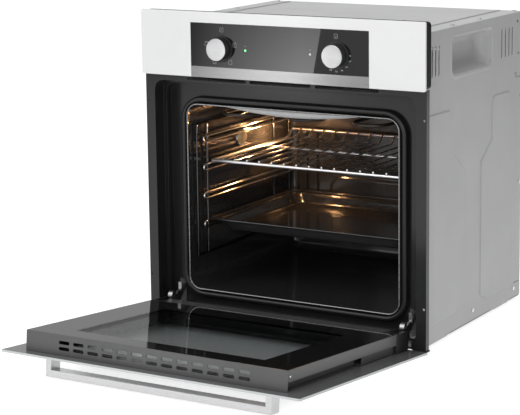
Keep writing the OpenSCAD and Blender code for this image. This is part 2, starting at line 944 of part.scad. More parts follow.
// The long wires touch the top of the frame, and rise with it at the rear.
module shelf_grid() {
    span = (shelf_wires - 1) / 2;
    bend = [0, shelf_back - 21.8, shelf_top];
    color(chrome) for (i = [-span:span]) translate([i * shelf_pitch, 0, 0]) {
        bar([0, shelf_front - 1, shelf_top], bend, grid_r);
        bar(bend, [0, shelf_back - 3.2, shelf_rear_z + 3.8], grid_r);
        translate([0, fy(bend[1]), bend[2]]) sphere(grid_r);
    }
}

module tray_solid(w0, w1, d0, d1, z0, z1, slope) {
    hull() {
        translate([-w0 / 2, fy(d0 + slope), z0]) cube([w0, d1 - d0 - 2 * slope, 0.1]);
        translate([-w1 / 2, fy(d0), z1 - 0.1]) cube([w1, d1 - d0, 0.1]);
    }
}

module baking_tray() {
    z = rail_height(0) + rail_top + 0.3;
    rim_w = 434;
    color([0.10, 0.10, 0.11]) difference() {
        union() {
            flat_plate(z, z + tray_lip) difference() {
                round_rect(rim_w, tray_front, tray_back, 10);
                translate([-203, tray_front + 9]) square([406, tray_back - tray_front - 18]);
            }
            flat_plate(z, z + 2.6) difference() {
                round_rect(rim_w, tray_front, tray_back, 10);
                round_rect(rim_w - 3, tray_front + 1.5, tray_back - 1.5, 9);
            }
            tray_solid(384, 408, tray_front + 8, tray_back - 8, z - 23, z + tray_lip, 12);
        }
        tray_solid(381.6, 405.6, tray_front + 9.2, tray_back - 9.2, z - 21.8, z + 8, 12);
    }
}

front_frame();
bottom_trim();
base_panel();
side_panel_left();
side_panel_right();
hand_recess_left();
hand_recess_right();
top_cover();
rear_panel();
body_screws();
cavity_liner();
insulation_wrap();
door_seal();
side_rack_left();
side_rack_right();
lamp_lens();
lamp_housing();
grill_element();
bottom_element();
temperature_sensor();
air_duct();
fan_housing();
fan_motor();
fan_impeller();
terminal_box();
cable_clamp();
panel_glass();
panel_window();
panel_strip();
panel_housing();
switch_bracket();
function_switch();
thermostat();
pilot_lamps();
function_knob();
function_knob_cap();
thermostat_knob();
thermostat_knob_cap();
knob_rings();
hinge_receivers();
hinge_arms();
hinge_pins();
hinge_lock_left();
hinge_lock_right();
door_outer_glass();
door_middle_glass();
door_inner_glass();
door_spacers();
door_top_rail();
door_side_rails();
door_bottom_rail();
door_corner_brackets();
hinge_channels();
hinge_springs();
handle_bar();
handle_posts();
handle_screws();
shelf_frame();
shelf_grid();
baking_tray();
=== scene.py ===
"""Looks of the built-in oven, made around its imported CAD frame."""
import json
import math

import bmesh
import bpy
from mathutils import Matrix, Vector


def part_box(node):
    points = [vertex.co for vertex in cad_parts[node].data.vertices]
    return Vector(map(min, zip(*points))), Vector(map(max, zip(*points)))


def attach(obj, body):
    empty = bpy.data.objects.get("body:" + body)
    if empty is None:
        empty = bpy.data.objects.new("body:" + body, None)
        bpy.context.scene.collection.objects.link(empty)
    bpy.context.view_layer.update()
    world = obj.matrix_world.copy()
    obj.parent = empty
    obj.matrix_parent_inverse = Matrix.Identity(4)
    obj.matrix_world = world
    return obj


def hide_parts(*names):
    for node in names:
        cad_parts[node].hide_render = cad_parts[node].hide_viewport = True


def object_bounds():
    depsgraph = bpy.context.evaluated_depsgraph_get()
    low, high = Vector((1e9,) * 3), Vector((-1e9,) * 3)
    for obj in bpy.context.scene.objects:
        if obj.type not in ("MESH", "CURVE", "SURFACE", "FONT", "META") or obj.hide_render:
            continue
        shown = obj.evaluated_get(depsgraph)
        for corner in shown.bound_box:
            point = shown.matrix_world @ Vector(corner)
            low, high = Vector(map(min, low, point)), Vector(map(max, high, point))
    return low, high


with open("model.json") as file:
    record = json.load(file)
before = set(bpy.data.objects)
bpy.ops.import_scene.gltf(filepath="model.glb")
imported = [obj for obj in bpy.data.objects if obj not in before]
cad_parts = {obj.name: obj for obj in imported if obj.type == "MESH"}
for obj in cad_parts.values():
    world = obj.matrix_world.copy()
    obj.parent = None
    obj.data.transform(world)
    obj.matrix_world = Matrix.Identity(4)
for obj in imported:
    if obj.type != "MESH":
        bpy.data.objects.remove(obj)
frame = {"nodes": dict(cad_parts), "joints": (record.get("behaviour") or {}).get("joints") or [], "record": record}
cad_box = [list(corner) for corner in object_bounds()]

MM = 0.001
CHASSIS = "chassis"
DOOR = "door"
FRONT_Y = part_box("front_frame")[0].y     # the flange, from which depths are counted
EYE = Vector((1.684758, -3.127054, 0.933817))    # the camera's place

# Outer faces of the case, the cavity's sizes, and the front of the panel's glass, in millimetres.
SIDE_X = 279
TOP_Z = 570.5
REAR_D = 464
CAVITY_HALF = 226
CAVITY_LOW = 52
CAVITY_HIGH = 414
CAVITY_BACK = 432
CAVITY_R = 24
PANEL_FACE = -8.5

joints = {j["name"]: j for j in frame["joints"]}
pivot = Vector(joints["door_pivot"]["pos_m"])
open_angle = math.radians(joints["door_pivot"]["range_deg"][1])
OPEN = Matrix.Translation(pivot) @ Matrix.Rotation(open_angle, 4, "X") @ Matrix.Translation(-pivot)
DOOR_UP = OPEN.to_3x3() @ Vector((0, 0, 1))     # up the door, as it stands open
DOOR_OUT = OPEN.to_3x3() @ Vector((0, -1, 0))   # out of the door's front


def at(x, depth, z):
    """A point from millimetres: x, depth behind the flange, height."""
    return Vector((x * MM, FRONT_Y + depth * MM, z * MM))


# ---------------------------------------------------------------- camera

def make_camera():
    """A long lens at EYE, with a little vertical shift and hardly any roll."""
    az, down, roll = math.radians(30.849), math.radians(9.868), math.radians(-0.743)
    forward = Vector((-math.sin(az) * math.cos(down), math.cos(az) * math.cos(down), -math.sin(down)))
    right = Vector((math.cos(az), math.sin(az), 0))
    up = right.cross(forward)
    side = right * math.cos(roll) + up * math.sin(roll)
    top = -right * math.sin(roll) + up * math.cos(roll)
    data = bpy.data.cameras.new("camera")
    data.sensor_width = 36
    data.lens = 128.23
    data.shift_y = -0.11538
    camera = bpy.data.objects.new("camera", data)
    rotation = Matrix((side, top, -forward)).transposed().to_4x4()
    camera.matrix_world = Matrix.Translation(EYE) @ rotation
    bpy.context.scene.collection.objects.link(camera)
    bpy.context.scene.camera = camera


make_camera()


# ---------------------------------------------------------------- materials

LOOKS = {}


class Nodes:
    """Short calls for the nodes of one material, which becomes a look."""

    def __init__(self, name):
        self.material = bpy.data.materials.new(name)
        self.material.use_nodes = True
        self.tree = self.material.node_tree
        self.shader = self.tree.nodes["Principled BSDF"]
        self.out = self.tree.nodes["Material Output"]
        self.place = self.add("ShaderNodeTexCoord").outputs["Object"]
        LOOKS[name] = self

    def add(self, kind, **settings):
        node = self.tree.nodes.new(kind)
        for key, value in settings.items():
            setattr(node, key, value)
        return node

    def link(self, source, target):
        self.tree.links.new(source, target)

    def put(self, target, value):
        if isinstance(value, bpy.types.NodeSocket):
            self.link(value, target)
        else:
            target.default_value = value

    def noise(self, scale, detail=3.0, stretch=(1, 1, 1)):
        mapping = self.add("ShaderNodeMapping")
        mapping.inputs["Scale"].default_value = stretch
        self.link(self.place, mapping.inputs["Vector"])
        node = self.add("ShaderNodeTexNoise")
        self.link(mapping.outputs[0], node.inputs["Vector"])
        node.inputs["Scale"].default_value = scale
        node.inputs["Detail"].default_value = detail
        return node.outputs["Fac"]

    def ranged(self, value, low, high, from_low=0.3, from_high=0.7):
        node = self.add("ShaderNodeMapRange")
        self.link(value, node.inputs["Value"])
        node.inputs["From Min"].default_value = from_low
        node.inputs["From Max"].default_value = from_high
        node.inputs["To Min"].default_value = low
        node.inputs["To Max"].default_value = high
        return node.outputs["Result"]

    def mix(self, fac, a, b):
        node = self.add("ShaderNodeMix", data_type="RGBA")
        self.put(node.inputs["Factor"], fac)
        self.put(node.inputs[6], rgba(a))
        self.put(node.inputs[7], rgba(b))
        return node.outputs[2]

    def math(self, operation, a, b=0.0, c=0.0):
        node = self.add("ShaderNodeMath", operation=operation)
        for socket, value in zip(node.inputs, (a, b, c)):
            self.put(socket, value)
        return node.outputs[0]

    def along(self, direction, origin=(0, 0, 0), source=None):
        """How far the surface point lies along a direction from an origin, in metres."""
        shift = self.add("ShaderNodeVectorMath", operation="SUBTRACT")
        self.link(source or self.place, shift.inputs[0])
        shift.inputs[1].default_value = origin
        node = self.add("ShaderNodeVectorMath", operation="DOT_PRODUCT")
        self.link(shift.outputs[0], node.inputs[0])
        node.inputs[1].default_value = direction
        return node.outputs["Value"]

    def inside(self, value, low, high):
        """1 where value lies between low and high, 0 outside."""
        soft = 0.0006
        up = self.ranged(value, 0, 1, low - soft, low + soft)
        down = self.ranged(value, 1, 0, high - soft, high + soft)
        return self.math("MULTIPLY", up, down)

    def bump(self, height, strength, distance, normal=None):
        node = self.add("ShaderNodeBump")
        node.inputs["Strength"].default_value = strength
        node.inputs["Distance"].default_value = distance
        self.link(height, node.inputs["Height"])
        if normal is not None:
            self.link(normal, node.inputs["Normal"])
        return node.outputs[0]

    def bevel(self, radius):
        node = self.add("ShaderNodeBevel", samples=4)
        node.inputs["Radius"].default_value = radius
        return node.outputs[0]


def rgba(value):
    return value if isinstance(value, bpy.types.NodeSocket) else (*value, 1.0)


def grey(value):
    return (value, value, value * 1.01)


def plain_look(name, dark, light, rough, metal=0.0, grain=400, grain_stretch=(1, 1, 1), tone=6,
               tone_stretch=(1, 1, 1), bump=0.05, depth=0.0002, edge=0.0, spread=0.06, specular=0.5):
    """Two tones that drift into each other, a fine grain, and roughness that follows it."""
    n = Nodes(name)
    drift = n.noise(tone, 4.0, tone_stretch)
    fine = n.noise(grain, 3.0, grain_stretch)
    both = n.math("ADD", n.math("MULTIPLY", drift, 0.65), n.math("MULTIPLY", fine, 0.35))
    n.put(n.shader.inputs["Base Color"], n.mix(n.ranged(both, 0, 1), dark, light))
    n.put(n.shader.inputs["Roughness"], n.ranged(fine, max(rough - spread, 0.004), rough + spread))
    n.shader.inputs["Metallic"].default_value = metal
    n.shader.inputs["IOR"].default_value = 1.5
    n.shader.inputs["Specular IOR Level"].default_value = specular
    base = n.bevel(edge) if edge else None
    if bump:
        n.put(n.shader.inputs["Normal"], n.bump(fine, bump, depth, base))
    elif base:
        n.put(n.shader.inputs["Normal"], base)


plain_look("enamel_grey", grey(0.011), grey(0.016), 0.17, grain=900, tone=3, bump=0.02, edge=0.0012,
           spread=0.03, specular=0.38)
plain_look("galvanised", grey(0.39), grey(0.44), 0.50, metal=0.15, grain=700, tone=9, bump=0.06,
           edge=0.0008)
plain_look("chrome_steel", grey(0.62), grey(0.80), 0.20, metal=1.0, grain=500, tone=30, bump=0.03,
           edge=0.0006)
plain_look("chrome_wire", grey(0.70), grey(0.88), 0.34, metal=1.0, grain=600, tone=25, bump=0.04)
plain_look("insulation", (0.42, 0.34, 0.16), (0.66, 0.58, 0.36), 0.95, grain=220, tone=14, bump=0.9,
           depth=0.003)
plain_look("seal", grey(0.006), grey(0.012), 0.38, grain=500, bump=0.08, specular=0.4)
plain_look("black_plastic", grey(0.010), grey(0.018), 0.36, grain=900, bump=0.10, edge=0.0008)
plain_look("element", (0.030, 0.026, 0.024), (0.080, 0.066, 0.056), 0.42, metal=0.6, grain=300,
           tone=18, bump=0.2)
plain_look("motor", grey(0.10), grey(0.20), 0.45, metal=0.8, grain=90, grain_stretch=(0.3, 6, 6),
           bump=0.2)
plain_look("fan", grey(0.45), grey(0.60), 0.35, metal=0.9, grain=200, grain_stretch=(1, 4, 4),
           bump=0.1)
plain_look("brushed", grey(0.24), grey(0.30), 0.16, metal=1.0, grain=420,
           grain_stretch=(0.15, 9, 9), tone=14, tone_stretch=(0.2, 4, 4), bump=0.03, edge=0.0004,
           spread=0.03)
plain_look("handle", grey(0.52), grey(0.60), 0.30, metal=0.85, grain=500,
           grain_stretch=(0.15, 9, 9), tone=12, tone_stretch=(0.2, 4, 4), bump=0.02, edge=0.0007)
plain_look("switch_plastic", grey(0.02), grey(0.035), 0.5, grain=600, bump=0.1, edge=0.0008)
plain_look("ceramic", (0.62, 0.58, 0.50), (0.76, 0.73, 0.66), 0.55, grain=300, bump=0.15,
           edge=0.0008)
plain_look("white_glass", (0.690, 0.692, 0.697), (0.720, 0.722, 0.725), 0.12, grain=40, tone=4,
           bump=0.01, edge=0.0009, spread=0.02)
plain_look("black_glass", grey(0.0045), grey(0.0060), 0.012, grain=60, bump=0.0, spread=0.006)
plain_look("knob", grey(0.07), grey(0.10), 0.30, metal=0.5, grain=500, bump=0.08, edge=0.0003)
plain_look("door_rail", grey(0.085), grey(0.115), 0.36, metal=0.5, grain=800, tone=5, bump=0.06,
           edge=0.0008)
plain_look("housing", grey(0.006), grey(0.010), 0.50, grain=900, bump=0.08, edge=0.0008,
           specular=0.12)
plain_look("dark_steel", grey(0.32), grey(0.42), 0.30, metal=1.0, grain=500, tone=30, bump=0.04,
           edge=0.0006)
# lip_steel: a metal grey for the mouth's lip ring, a painted highlight for the bright edge of the enamel's rolled
# lip.
plain_look("lip_steel", grey(0.26), grey(0.36), 0.28, metal=0.9, grain=500, bump=0.04)
# pressed_pale: a pale grey for the ceiling's enamelled lip, a painted reflection of the bright front.
plain_look("pressed_pale", grey(0.40), grey(0.50), 0.34, grain=700, tone=9, bump=0.05)
plain_look("icon", grey(0.42), grey(0.55), 0.5, grain=900, bump=0.02)


def make_rack_wire():
    """Bright rails on darker uprights, which stand nearer to the wall. The uprights' dark grey is painted shade:
    the same chrome wire, darkened for the dark surroundings it reflects.
    """
    n = Nodes("rack_wire")
    across = n.math("ABSOLUTE", n.along((1, 0, 0)))
    limit, soft = 0.2185, 0.0003
    upright_painted_shade = n.ranged(across, 0, 1, limit - soft, limit + soft)
    fine = n.noise(600, 3.0)
    rail = n.mix(fine, grey(0.66), grey(0.86))
    # The uprights get a dark grey in place of chrome: painted shade for the dark surroundings they reflect.
    n.put(n.shader.inputs["Base Color"], n.mix(upright_painted_shade, rail, grey(0.09)))
    n.put(n.shader.inputs["Roughness"], n.ranged(fine, 0.16, 0.26))
    n.put(n.shader.inputs["Normal"], n.bump(fine, 0.04, 0.0002))
    n.shader.inputs["Metallic"].default_value = 1.0


make_rack_wire()


def make_cavity_enamel(name, fleck_tone, specular):
    """Near-black glossy enamel with fine pale specks and a faint orange-peel surface."""
    n = Nodes(name)
    speck = n.noise(1500, 1.0)
    wave = n.noise(120, 2.0)
    fleck = n.ranged(speck, 0, 1, 0.66, 0.72)
    n.put(n.shader.inputs["Base Color"], n.mix(fleck, grey(0.022), fleck_tone))
    n.put(n.shader.inputs["Roughness"], n.ranged(wave, 0.09, 0.17))
    n.put(n.shader.inputs["Normal"], n.bump(wave, 0.06, 0.0006))
    n.shader.inputs["Specular IOR Level"].default_value = specular


make_cavity_enamel("enamel_black", (0.16, 0.16, 0.17), 0.42)
make_cavity_enamel("tray_enamel", (0.05, 0.05, 0.055), 0.95)


def make_lamp():
    n = Nodes("lamp_glass")
    ripple = n.noise(160, 2.0)
    n.put(n.shader.inputs["Base Color"], n.mix(ripple, (0.05, 0.035, 0.02), (0.11, 0.08, 0.05)))
    n.put(n.shader.inputs["Emission Color"], n.mix(ripple, (1.0, 0.50, 0.16), (1.0, 0.66, 0.32)))
    n.shader.inputs["Emission Strength"].default_value = 0.2
    n.shader.inputs["Roughness"].default_value = 0.2
    n.put(n.shader.inputs["Normal"], n.bump(ripple, 0.3, 0.001))


make_lamp()


def make_pilots():
    """The left pilot glows green, the right one is off."""
    n = Nodes("pilot_clear")
    left = n.ranged(n.along((1, 0, 0)), 1, 0, -0.01, 0.01)
    grain = n.ranged(n.noise(900, 2.0), 0.9, 1.0)
    n.put(n.shader.inputs["Base Color"], n.mix(left, (0.62, 0.63, 0.62), (0.25, 0.62, 0.30)))
    n.put(n.shader.inputs["Emission Color"], n.mix(left, (0.03, 0.03, 0.03), (0.12, 1.0, 0.25)))
    n.put(n.shader.inputs["Roughness"], n.math("MULTIPLY", grain, 0.3))
    n.shader.inputs["Emission Strength"].default_value = 1.2


make_pilots()


def glass_shader(n, tint, clear, gloss_share=1.0):
    """A clear pane where clear is 1, and the look's own shader where it is 0."""
    through = n.add("ShaderNodeBsdfTransparent")
    n.put(through.inputs["Color"], rgba(tint))
    gloss = n.add("ShaderNodeBsdfGlossy")
    gloss.inputs["Roughness"].default_value = 0.03
    slant = n.add("ShaderNodeLayerWeight")
    slant.inputs["Blend"].default_value = 0.5
    steep = n.math("POWER", slant.outputs["Facing"], 5.0)
    sheen = n.math("MULTIPLY", n.math("MULTIPLY_ADD", steep, 0.96, 0.04), gloss_share)
    pane = n.add("ShaderNodeMixShader")
    n.link(sheen, pane.inputs[0])
    n.link(through.outputs[0], pane.inputs[1])
    n.link(gloss.outputs[0], pane.inputs[2])
    mixed = n.add("ShaderNodeMixShader")
    n.put(mixed.inputs[0], clear)
    n.link(n.shader.outputs[0], mixed.inputs[1])
    n.link(pane.outputs[0], mixed.inputs[2])
    n.link(mixed.outputs[0], n.out.inputs["Surface"])


def door_window(n, half, low, high):
    """1 inside the door's window, which is half wide on each side and goes from low to high."""
    across = n.inside(n.along((1, 0, 0)), -half, half)
    up = n.inside(n.along(DOOR_UP, pivot), low, high)
    return n.math("MULTIPLY", across, up)


def make_inner_glass():
    n = Nodes("inner_glass")
    haze = n.noise(5, 3.0)
    window = door_window(n, 0.190, 0.116, 0.390)
    n.put(n.shader.inputs["Base Color"], n.mix(haze, grey(0.006), grey(0.009)))
    n.put(n.shader.inputs["Roughness"], n.ranged(haze, 0.03, 0.07))
    glass_shader(n, (0.95, 0.96, 0.96), window, 0.55)


def make_middle_glass():
    n = Nodes("middle_glass")
    haze = n.noise(5, 3.0)
    n.put(n.shader.inputs["Base Color"], n.mix(haze, grey(0.02), grey(0.03)))
    n.put(n.shader.inputs["Roughness"], n.ranged(haze, 0.03, 0.06))
    glass_shader(n, (0.94, 0.95, 0.95), n.ranged(haze, 0.96, 1.0), 0.02)


def make_outer_glass():
    """White print outside with a dark window, grey print inside, and pale glass edges. Seen from inside, the
    window is an opaque mid grey: painted light in place of the bright floor seen through the door.
    """
    n = Nodes("door_glass")
    normal = n.add("ShaderNodeTexCoord").outputs["Normal"]
    facing = n.along(DOOR_OUT, source=normal)
    outside = n.ranged(facing, 0, 1, 0.4, 0.6)
    inner = n.ranged(facing, 1, 0, -0.6, -0.4)
    window = door_window(n, 0.216, 0.075, 0.375)
    haze = n.noise(6, 3.0)
    inside_tone = n.mix(haze, grey(0.095), grey(0.125))
    edge_tone = n.mix(haze, (0.42, 0.44, 0.44), (0.52, 0.54, 0.54))
    outside_tone = n.mix(haze, (0.755, 0.757, 0.762), (0.785, 0.787, 0.790))
    faces = n.mix(outside, n.mix(inner, edge_tone, inside_tone), outside_tone)
    # From inside, the window pane is an opaque grey(0.50): painted light that stands in for the bright floor seen
    # through the glass.
    pane = n.mix(inner, grey(0.006), grey(0.50))
    n.put(n.shader.inputs["Base Color"], n.mix(window, faces, pane))
    n.put(n.shader.inputs["Roughness"], n.ranged(haze, 0.08, 0.16))
    n.put(n.shader.inputs["Normal"], n.bevel(0.0006))
    from_front = n.math("SUBTRACT", 1.0, inner)
    clear = n.math("MULTIPLY", n.math("MULTIPLY", window, 0.75), from_front)
    glass_shader(n, (0.58, 0.59, 0.60), clear)


make_inner_glass()
make_middle_glass()
make_outer_glass()


def make_knob_face():
    """Spun metal: fine rings round the piece's own axis, which stretch its highlights."""
    n = Nodes("knob_face")
    radius = n.add("ShaderNodeVectorMath", operation="LENGTH")
    n.link(n.place, radius.inputs[0])
    rings = n.add("ShaderNodeTexNoise", noise_dimensions="1D")
    rings.inputs["Scale"].default_value = 6000
    n.link(radius.outputs["Value"], rings.inputs["W"])
    line = rings.outputs["Fac"]
    n.put(n.shader.inputs["Base Color"], n.mix(line, grey(0.50), grey(0.66)))
    n.put(n.shader.inputs["Roughness"], n.ranged(line, 0.26, 0.34))
    n.put(n.shader.inputs["Normal"], n.bump(line, 0.05, 0.0001))
    n.shader.inputs["Metallic"].default_value = 1.0
    n.shader.inputs["Anisotropic"].default_value = 0.75
    tangent = n.add("ShaderNodeTangent", direction_type="RADIAL", axis="Y")
    n.link(tangent.outputs[0], n.shader.inputs["Tangent"])


make_knob_face()


def dress(obj, look):
    """Puts a look on every material slot of an object."""
    finish = LOOKS[look].material
    if not obj.data.materials:
        obj.data.materials.append(finish)
    for i in range(len(obj.data.materials)):
        obj.data.materials[i] = finish


for row in frame["record"]["subparts"]:
    dress(frame["nodes"][row["node"]], row["material_slot"])
for piece in ("hinge_arms", "hinge_lock_left", "hinge_lock_right", "hinge_pins"):
    dress(frame["nodes"][piece], "dark_steel")
dress(frame["nodes"]["panel_housing"], "housing")
dress(frame["nodes"]["side_rack_left"], "rack_wire")
dress(frame["nodes"]["side_rack_right"], "rack_wire")


# ---------------------------------------------------------------- mesh helpers

def rounded(corners, radius, inset=0.0, steps=8):
    """A polygon's outline with round corners, moved inwards by inset. Corners go anticlockwise."""
    outline = []
    count = len(corners)
    for i in range(count):
        corner = Vector(corners[i])
        a = (Vector(corners[i - 1]) - corner).normalized()
        b = (Vector(corners[(i + 1) % count]) - corner).normalized()
        half = a.angle(b) / 2
        middle = corner + (a + b).normalized() * (radius / math.sin(half))
        reach = radius / math.tan(half)
        start = corner + a * reach - middle
        end = corner + b * reach - middle
        convex = b.x * a.y - b.y * a.x > 0
        size = radius - inset if convex else radius + inset
        first = math.atan2(start.y, start.x)
        turn = (math.atan2(end.y, end.x) - first + math.pi) % (2 * math.pi) - math.pi
        for k in range(steps + 1):
            angle = first + turn * k / steps
            outline.append(middle + size * Vector((math.cos(angle), math.sin(angle))))
    return outline


def rect(x0, x1, y0, y1):
    return [(x0, y0), (x1, y0), (x1, y1), (x0, y1)]


def settle(obj, look, body):
    """Links a piece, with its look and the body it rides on."""
    bpy.context.scene.collection.objects.link(obj)
    dress(obj, look)
    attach(obj, body)
    return obj


def make(name, points, faces, look, body, mirror=False, sharp=40, origin=(0, 0, 0)):
    """A mesh piece from points in metres, mirrored from right to left if asked."""
    points = [Vector(p) for p in points]
    if mirror:
        points = [Vector((-p.x, p.y, p.z)) for p in points]
    shift = Vector(origin)
    mesh = bpy.data.meshes.new(name)
    mesh.from_pydata([p - shift for p in points], [], faces)
    bm = bmesh.new()
    bm.from_mesh(mesh)
    bmesh.ops.remove_doubles(bm, verts=bm.verts, dist=1e-6)
    bmesh.ops.recalc_face_normals(bm, faces=bm.faces)
    bm.to_mesh(mesh)
    bm.free()
    mesh.shade_smooth()
    mesh.set_sharp_from_angle(angle=math.radians(sharp))
    obj = bpy.data.objects.new(name, mesh)
    obj.location = shift
    return settle(obj, look, body)


def thicken(obj, thickness):
    """Gives a sheet its thickness, in millimetres."""
    skin = obj.modifiers.new("thickness", "SOLIDIFY")
    skin.thickness = thickness * MM


def new_curve(name, thickness, roundness):
    """An empty 3-D curve that is drawn as a round wire."""
    curve = bpy.data.curves.new(name, "CURVE")
    curve.dimensions = "3D"
    curve.bevel_depth = thickness * MM
    curve.bevel_resolution = roundness
    return curve


def loft(rings, cap_start=False, cap_end=False, closed=False):
    """Points and faces of a skin through rings of equal length."""
    count = len(rings[0])
    points = [p for ring in rings for p in ring]
    faces = []
    spans = len(rings) if closed else len(rings) - 1
    for i in range(spans):
        j = (i + 1) % len(rings)
        for k in range(count):
            m = (k + 1) % count
            faces.append((i * count + k, i * count + m, j * count + m, j * count + k))
    if cap_start:
        faces.append(tuple(range(count)))
    if cap_end:
        base = (len(rings) - 1) * count
        faces.append(tuple(range(base, base + count)))
    return points, faces


def on_side(u, v, h):
    return at(SIDE_X + h, u, v)


def on_top(u, v, h):
    return at(u, v, TOP_Z + h)


def on_rear(u, v, h):
    return at(u, REAR_D + h, v)


def on_cavity_back(u, v, h):
    return at(u, CAVITY_BACK - h, v)


def emboss(name, corners, radius, height, skirt, place, look, mirror=False):
    """A pressed plateau with a soft edge, closed below the sheet's surface."""
    rings = [[place(p.x, p.y, -0.4) for p in rounded(corners, radius)]]
    steps = 7
    for k in range(steps + 1):
        t = k / steps
        lift = height * (0.5 - 0.5 * math.cos(math.pi * t))
        rings.append([place(p.x, p.y, lift) for p in rounded(corners, radius, skirt * t)])
    rings.append([place(p.x, p.y, height) for p in rounded(corners, radius, skirt + 0.6)])
    points, faces = loft(rings, True, True)
    make(name, points, faces, look, CHASSIS, mirror=mirror, sharp=80)


def lathe(name, profile, centre, axis, look, body, steps=48, origin=(0, 0, 0)):
    """A turned piece: profile is (radius, height) in mm along axis from centre, a point in metres."""
    axis = Vector(axis).normalized()
    side = axis.orthogonal().normalized()
    up = axis.cross(side)
    rings = []
    for radius, height in profile:
        ring = []
        for k in range(steps):
            a = 2 * math.pi * k / steps
            out = (side * math.cos(a) + up * math.sin(a)) * max(radius, 0.01) * MM
            ring.append(Vector(centre) + axis * height * MM + out)
        rings.append(ring)
    points, faces = loft(rings, True, True)
    return make(name, points, faces, look, body, origin=origin)


def swept_frame(name, corners, radius, section, look):
    """A closed profile of (inset, depth) points carried round a rounded outline in (x, z)."""
    rings = []
    for inset, depth in section:
        rings.append([at(p.x, depth, p.y) for p in rounded(corners, radius, inset, 14)])
    points, faces = loft(rings, closed=True)
    return make(name, points, faces, look, CHASSIS, sharp=60)


def oval(inset, depth, a, b, steps=14):
    """A closed oval profile."""
    return [(inset + a * math.cos(2 * math.pi * k / steps),
             depth + b * math.sin(2 * math.pi * k / steps)) for k in range(steps)]


def strokes(name, lines, look, width):
    """Thin printed lines on the panel's front: each is (closed, points), with (x, z) in mm."""
    curve = new_curve(name, width, 1)
    for closed, line in lines:
        spline = curve.splines.new("POLY")
        spline.points.add(len(line) - 1)
        for point, (x, z) in zip(spline.points, line):
            point.co = (*at(x, PANEL_FACE - 0.05, z), 1)
        spline.use_cyclic_u = closed
    settle(bpy.data.objects.new(name, curve), look, CHASSIS)


# ---------------------------------------------------------------- case

FRONT_EMBOSS = [(16, 34), (160.5, 34), (199.5, 49.5), (199.5, 298.5), (142.5, 340.5),
                (142.5, 406.5), (128.5, 421.5), (16, 421.5)]
REAR_EMBOSS = [(293.5, 31), (397.5, 31), (414.5, 43.5), (414.5, 408.5), (397.5, 422), (328.5, 422),
               (321, 408.5), (321, 339.5), (269.5, 303.5), (269.5, 43.5)]


def recess_pan(side, mirror):
    """A deep-drawn hand recess with soft corners."""
    low, high, near, far = 481.5, 552, 141, 319.5
    outline = rect(near, far, low, high)
    rings = []
    # Each row is (inset, height over the side, corner radius).
    profile = [(-9, -1.5, 14), (-1.5, -1.5, 14), (0.4, -2.4, 14), (1.4, -5, 15), (2.4, -12, 17),
               (3.6, -18, 19), (6.5, -23.5, 21), (10.5, -27.5, 23), (15.5, -30, 24), (21, -31, 22)]
    for inset, height, radius in profile:
        box = rect(near + inset, far - inset, low + inset, high - inset)
        rings.append([on_side(p.x, p.y, height) for p in rounded(box, min(radius, 34 - inset))])
    points, faces = loft(rings, cap_end=True)
    pan = make("hand_pan_" + side, points, faces, "galvanised", CHASSIS, mirror=mirror, sharp=80)
    rim = []
    for inset, height in ((-6.8, -0.5), (-6.6, 0.1), (-6.0, 0.3), (-1.4, 0.3), (0.1, -0.1),
                          (1.0, -1.2), (1.2, -2.6), (-0.6, -1.4)):
        rim.append([on_side(p.x, p.y, height) for p in rounded(outline, 14, inset)])
    points, faces = loft(rim, closed=True)
    make("hand_pan_rim_" + side, points, faces, "galvanised", CHASSIS, mirror=mirror, sharp=80)
    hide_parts("hand_recess_" + side)


def louvre_lip(name, depth, low, high, mirror):
    """A narrow blister along the rear edge of a slit."""
    rings = []
    for k in range(13):
        t = k / 12
        z = low + (high - low) * t
        rise = 1.5 * math.sqrt(max(1 - (2 * t - 1) ** 4, 0.0))
        ring = []
        for a in range(7):
            angle = math.pi * a / 6
            ring.append(on_side(depth + 1.6 * math.cos(angle), z, rise * math.sin(angle) - 0.05))
        ring += [on_side(depth - 1.6, z, -0.6), on_side(depth + 1.6, z, -0.6)]
        rings.append(ring)
    points, faces = loft(rings, True, True)
    make(name, points, faces, "galvanised", CHASSIS, mirror=mirror, sharp=60)


SLIT_DEPTHS = (57, 71, 85, 365, 382, 399, 415)
SLIT_LOW = 488
SLIT_HIGH = 545
LIP_BEHIND_SLIT = 3.4
PRESS_HEIGHT = 2.0

for side, mirror in (("right", False), ("left", True)):
    for name, corners in (("front", FRONT_EMBOSS), ("rear", REAR_EMBOSS)):
        emboss("side_press_%s_%s" % (name, side), corners, 7, PRESS_HEIGHT, 2.2, on_side, "galvanised",
               mirror=mirror)
    recess_pan(side, mirror)
    for number, depth in enumerate(SLIT_DEPTHS):
        louvre_lip("louvre_%s_%d" % (side, number), depth + LIP_BEHIND_SLIT, SLIT_LOW, SLIT_HIGH, mirror)

emboss("top_press", rect(-151, 151, 59, 211), 18, PRESS_HEIGHT, 3, on_top, "galvanised")
TOP_RIB_HALF = 3
for number, x in enumerate((-236, 236)):
    emboss("top_rib_%d" % number, rect(x - TOP_RIB_HALF, x + TOP_RIB_HALF, 29, 451), 2.9, PRESS_HEIGHT, 2.6,
           on_top, "galvanised")
for number, (x0, x1) in enumerate(((-245, -20), (20, 245))):
    emboss("rear_press_%d" % number, rect(x0, x1, 60, 400), 26, 2.2, 4, on_rear, "galvanised")


# ---------------------------------------------------------------- oven cavity

MOUTH_BOX = rect(-CAVITY_HALF, CAVITY_HALF, CAVITY_LOW, CAVITY_HIGH)
MOUTH_D = 33.6


